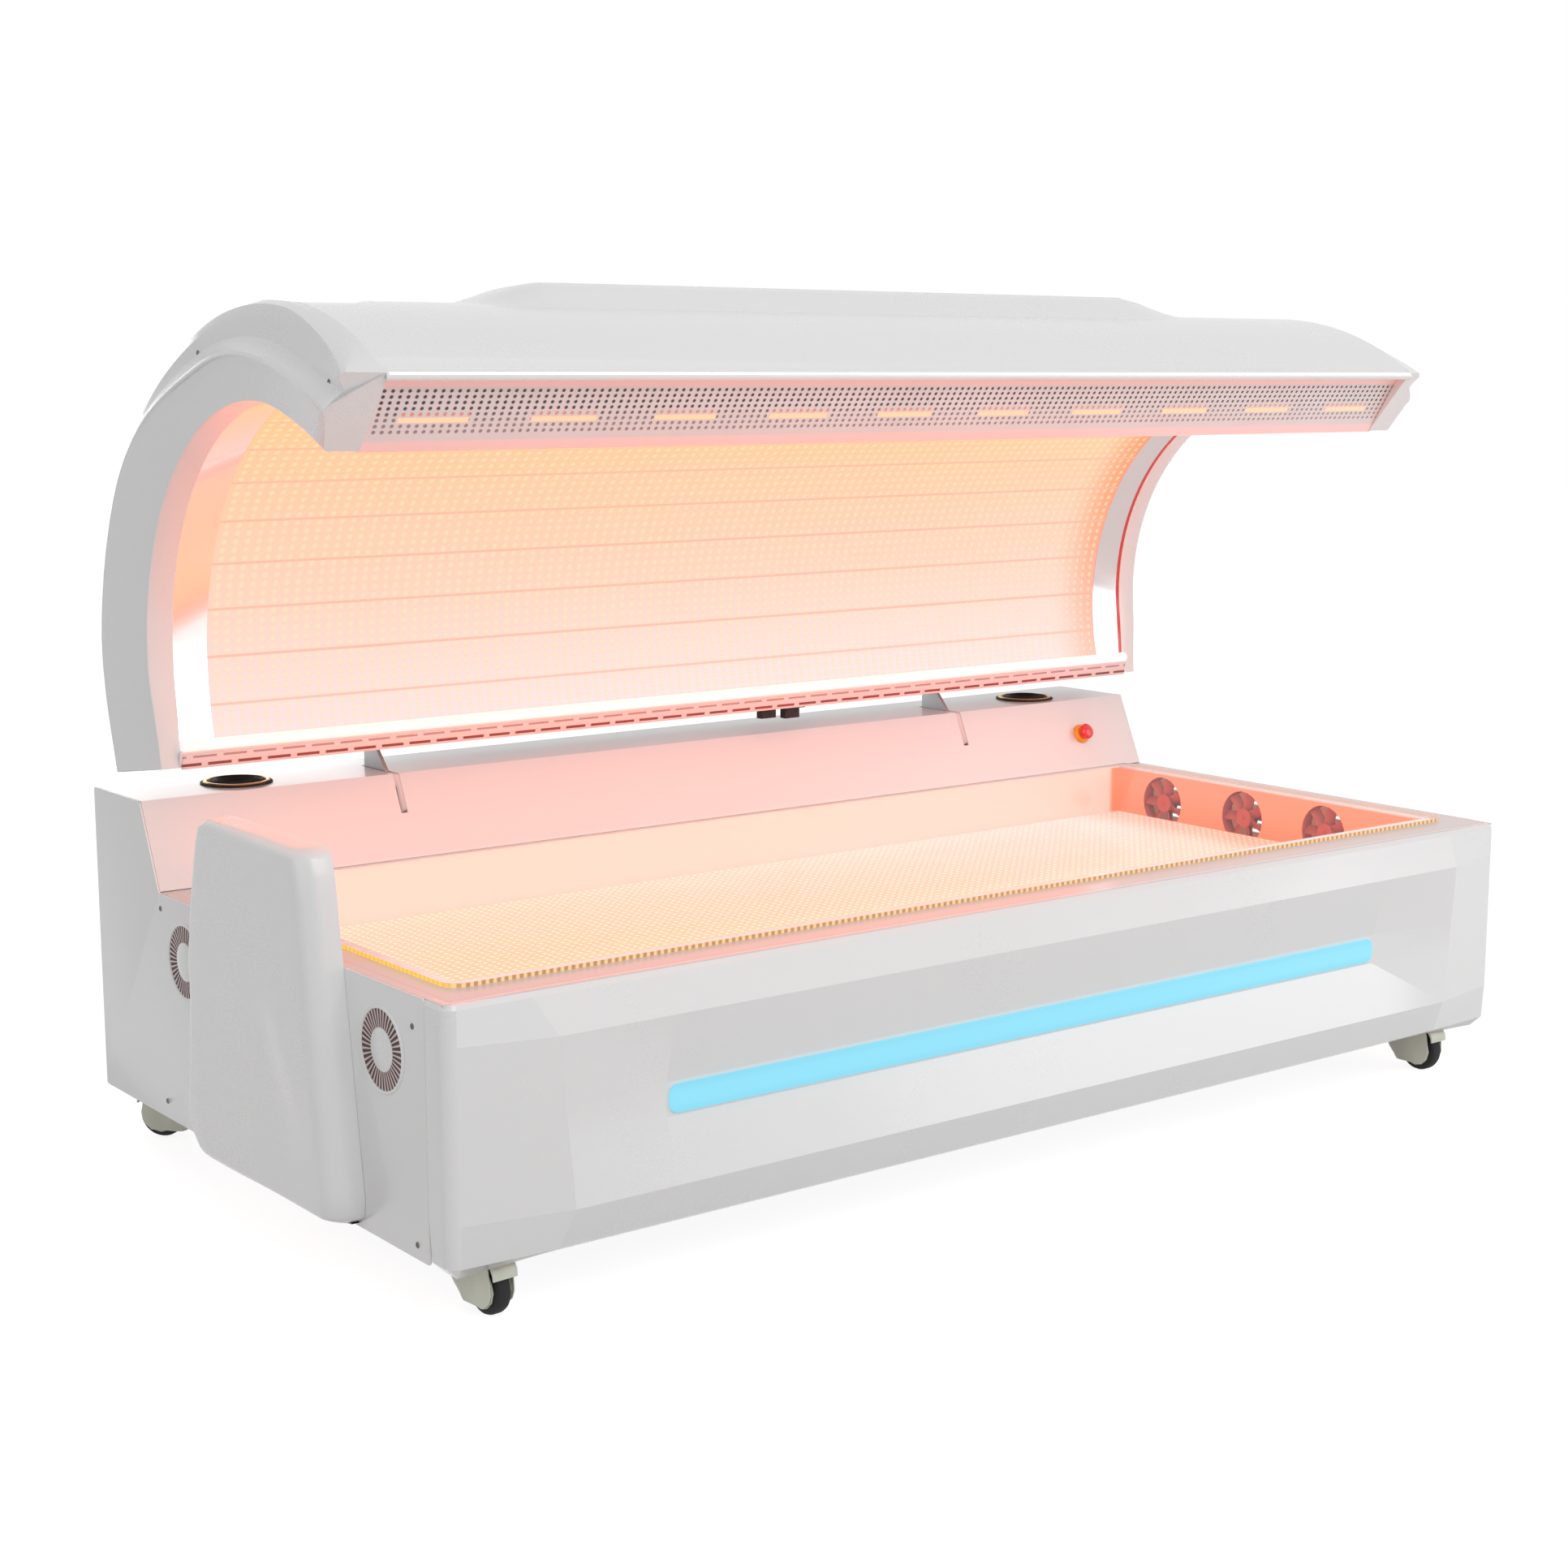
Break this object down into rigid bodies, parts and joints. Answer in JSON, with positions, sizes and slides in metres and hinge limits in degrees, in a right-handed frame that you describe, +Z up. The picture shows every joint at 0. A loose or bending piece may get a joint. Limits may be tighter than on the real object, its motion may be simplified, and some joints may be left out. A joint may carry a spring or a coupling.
{
  "type": "red light therapy bed",
  "caption": "White clamshell light therapy bed: base on casters with a lit tub under clear acrylic, and a hinged curved canopy lined with LED boards that closes over a person lying down.",
  "frame": {"origin": "on the floor, under the middle of the bounding box, with the canopy open", "axes": "+X along the bed towards its foot end, +Y to the hinge side, +Z up"},
  "size_m": [2.1704, 1.1418, 1.3628],
  "materials": {
    "white_shell": "gloss white moulding",
    "pink_white_sheet": "white sheet lit pink",
    "white_sheet": "white moulded sheet",
    "frame_grey": "satin grey coat",
    "hinge_steel": "plain steel",
    "strut_black": "satin black",
    "fork_green_grey": "zinc plated",
    "wheel_rubber": "matt black",
    "clear_acrylic": "clear sheet",
    "led_board": "lit board, salmon orange",
    "blue_light": "lit blue diffuser",
    "reflector_mirror": "mirror sheet",
    "fan_brown": "dark red brown",
    "electrics_grey": "grey case",
    "black_plastic": "satin black",
    "stop_rubber": "matt black",
    "estop_yellow": "orange yellow",
    "estop_red": "gloss red"
  },
  "bodies": {
    "base": {"base_frame": "frame_grey", "floor_pan": "frame_grey", "front_fascia": "white_shell", "blue_light_strip": "blue_light", "left_end_panel": "white_sheet", "right_end_panel": "white_sheet", "head_end_panel": "white_shell", "rear_housing": "white_sheet", "rear_back_cover": "white_sheet", "bed_tub": "pink_white_sheet", "bed_acrylic_sheet": "clear_acrylic", "power_supply": "electrics_grey", "control_box": "electrics_grey", "mains_inlet": "black_plastic", "speaker_left": "black_plastic", "speaker_right": "black_plastic", "estop_collar": "estop_yellow", "hinge_bracket_left": "hinge_steel", "hinge_bracket_right": "hinge_steel", "strut_cylinder_left": "strut_black", "strut_cylinder_right": "strut_black", "bed_led_board_1": "led_board", "fan_frame_1": "fan_brown", "bed_led_board_2": "led_board", "fan_frame_2": "fan_brown", "bed_led_board_3": "led_board", "fan_frame_3": "fan_brown"},
    "canopy": {"canopy_outer_shell": "white_shell", "canopy_top_fairing": "white_shell", "canopy_left_cap": "white_shell", "canopy_right_cap": "white_shell", "canopy_front_grille": "pink_white_sheet", "canopy_rear_rail": "white_sheet", "canopy_left_reflector": "reflector_mirror", "canopy_right_reflector": "reflector_mirror", "hinge_arm_left": "hinge_steel", "hinge_arm_right": "hinge_steel", "canopy_stop_left": "stop_rubber", "canopy_stop_right": "stop_rubber", "canopy_led_board_1": "led_board", "canopy_led_board_2": "led_board", "canopy_led_board_3": "led_board", "canopy_led_board_4": "led_board", "canopy_led_board_5": "led_board", "canopy_led_board_6": "led_board", "canopy_led_board_7": "led_board"},
    "strut_rod_left": {"strut_rod_left": "hinge_steel"},
    "strut_rod_right": {"strut_rod_right": "hinge_steel"},
    "estop_button": {"estop_button": "estop_red"},
    "fan_rotor_1": {"fan_rotor_1": "fan_brown"},
    "fan_rotor_2": {"fan_rotor_2": "fan_brown"},
    "fan_rotor_3": {"fan_rotor_3": "fan_brown"},
    "caster_fork_front_left": {"caster_fork_front_left": "fork_green_grey"},
    "caster_wheel_front_left": {"caster_wheel_front_left": "wheel_rubber"},
    "caster_fork_front_right": {"caster_fork_front_right": "fork_green_grey"},
    "caster_wheel_front_right": {"caster_wheel_front_right": "wheel_rubber"},
    "caster_fork_rear_left": {"caster_fork_rear_left": "fork_green_grey"},
    "caster_wheel_rear_left": {"caster_wheel_rear_left": "wheel_rubber"},
    "caster_fork_rear_right": {"caster_fork_rear_right": "fork_green_grey"},
    "caster_wheel_rear_right": {"caster_wheel_rear_right": "wheel_rubber"}
  },
  "joints": [
    {"name": "canopy_hinge", "type": "hinge", "parent": "base", "child": "canopy", "pos_m": [0.02515, 0.46793, 0.5], "axis": [1, 0, 0], "range_deg": [0, 40]},
    {"name": "estop_press", "type": "slide", "parent": "base", "child": "estop_button", "axis": [0, 0.9127, -0.4086], "range_m": [0, 0.004], "stiffness_N_per_m": 600},
    {"name": "strut_slide_left", "type": "slide", "parent": "base", "child": "strut_rod_left", "axis": [0, 0, 1], "range_m": [-0.0437, 0]},
    {"name": "strut_slide_right", "type": "slide", "parent": "base", "child": "strut_rod_right", "axis": [0, 0, 1], "range_m": [-0.0437, 0]},
    {"name": "fan_spin_1", "type": "hinge", "parent": "base", "child": "fan_rotor_1", "pos_m": [1.02295, 0.19793, 0.386], "axis": [1, 0, 0], "continuous": true},
    {"name": "fan_spin_2", "type": "hinge", "parent": "base", "child": "fan_rotor_2", "pos_m": [1.02295, -0.01207, 0.386], "axis": [1, 0, 0], "continuous": true},
    {"name": "fan_spin_3", "type": "hinge", "parent": "base", "child": "fan_rotor_3", "pos_m": [1.02295, -0.21207, 0.386], "axis": [1, 0, 0], "continuous": true},
    {"name": "caster_swivel_front_left", "type": "hinge", "parent": "base", "child": "caster_fork_front_left", "pos_m": [-0.93985, -0.44307, 0.0997], "axis": [0, 0, 1], "continuous": true},
    {"name": "caster_roll_front_left", "type": "hinge", "parent": "caster_fork_front_left", "child": "caster_wheel_front_left", "pos_m": [-0.9379, -0.471, 0.0375], "axis": [0.9976, 0.0698, 0], "continuous": true},
    {"name": "caster_swivel_front_right", "type": "hinge", "parent": "base", "child": "caster_fork_front_right", "pos_m": [0.99015, -0.44307, 0.0997], "axis": [0, 0, 1], "continuous": true},
    {"name": "caster_roll_front_right", "type": "hinge", "parent": "caster_fork_front_right", "child": "caster_wheel_front_right", "pos_m": [0.99015, -0.47107, 0.0375], "axis": [1, 0, 0], "continuous": true},
    {"name": "caster_swivel_rear_left", "type": "hinge", "parent": "base", "child": "caster_fork_rear_left", "pos_m": [-0.93985, 0.50593, 0.0997], "axis": [0, 0, 1], "continuous": true},
    {"name": "caster_roll_rear_left", "type": "hinge", "parent": "caster_fork_rear_left", "child": "caster_wheel_rear_left", "pos_m": [-0.95785, 0.52738, 0.0375], "axis": [-0.766, -0.6428, 0], "continuous": true},
    {"name": "caster_swivel_rear_right", "type": "hinge", "parent": "base", "child": "caster_fork_rear_right", "pos_m": [0.99015, 0.50593, 0.0997], "axis": [0, 0, 1], "continuous": true},
    {"name": "caster_roll_rear_right", "type": "hinge", "parent": "caster_fork_rear_right", "child": "caster_wheel_rear_right", "pos_m": [1.01309, 0.52199, 0.0375], "axis": [-0.5736, 0.8192, 0], "continuous": true}
  ],
  "couplings": [
    {"joint": "strut_slide_left", "follows": "canopy_hinge", "m_per_rad": -0.06257},
    {"joint": "strut_slide_right", "follows": "canopy_hinge", "m_per_rad": -0.06257}
  ]
}
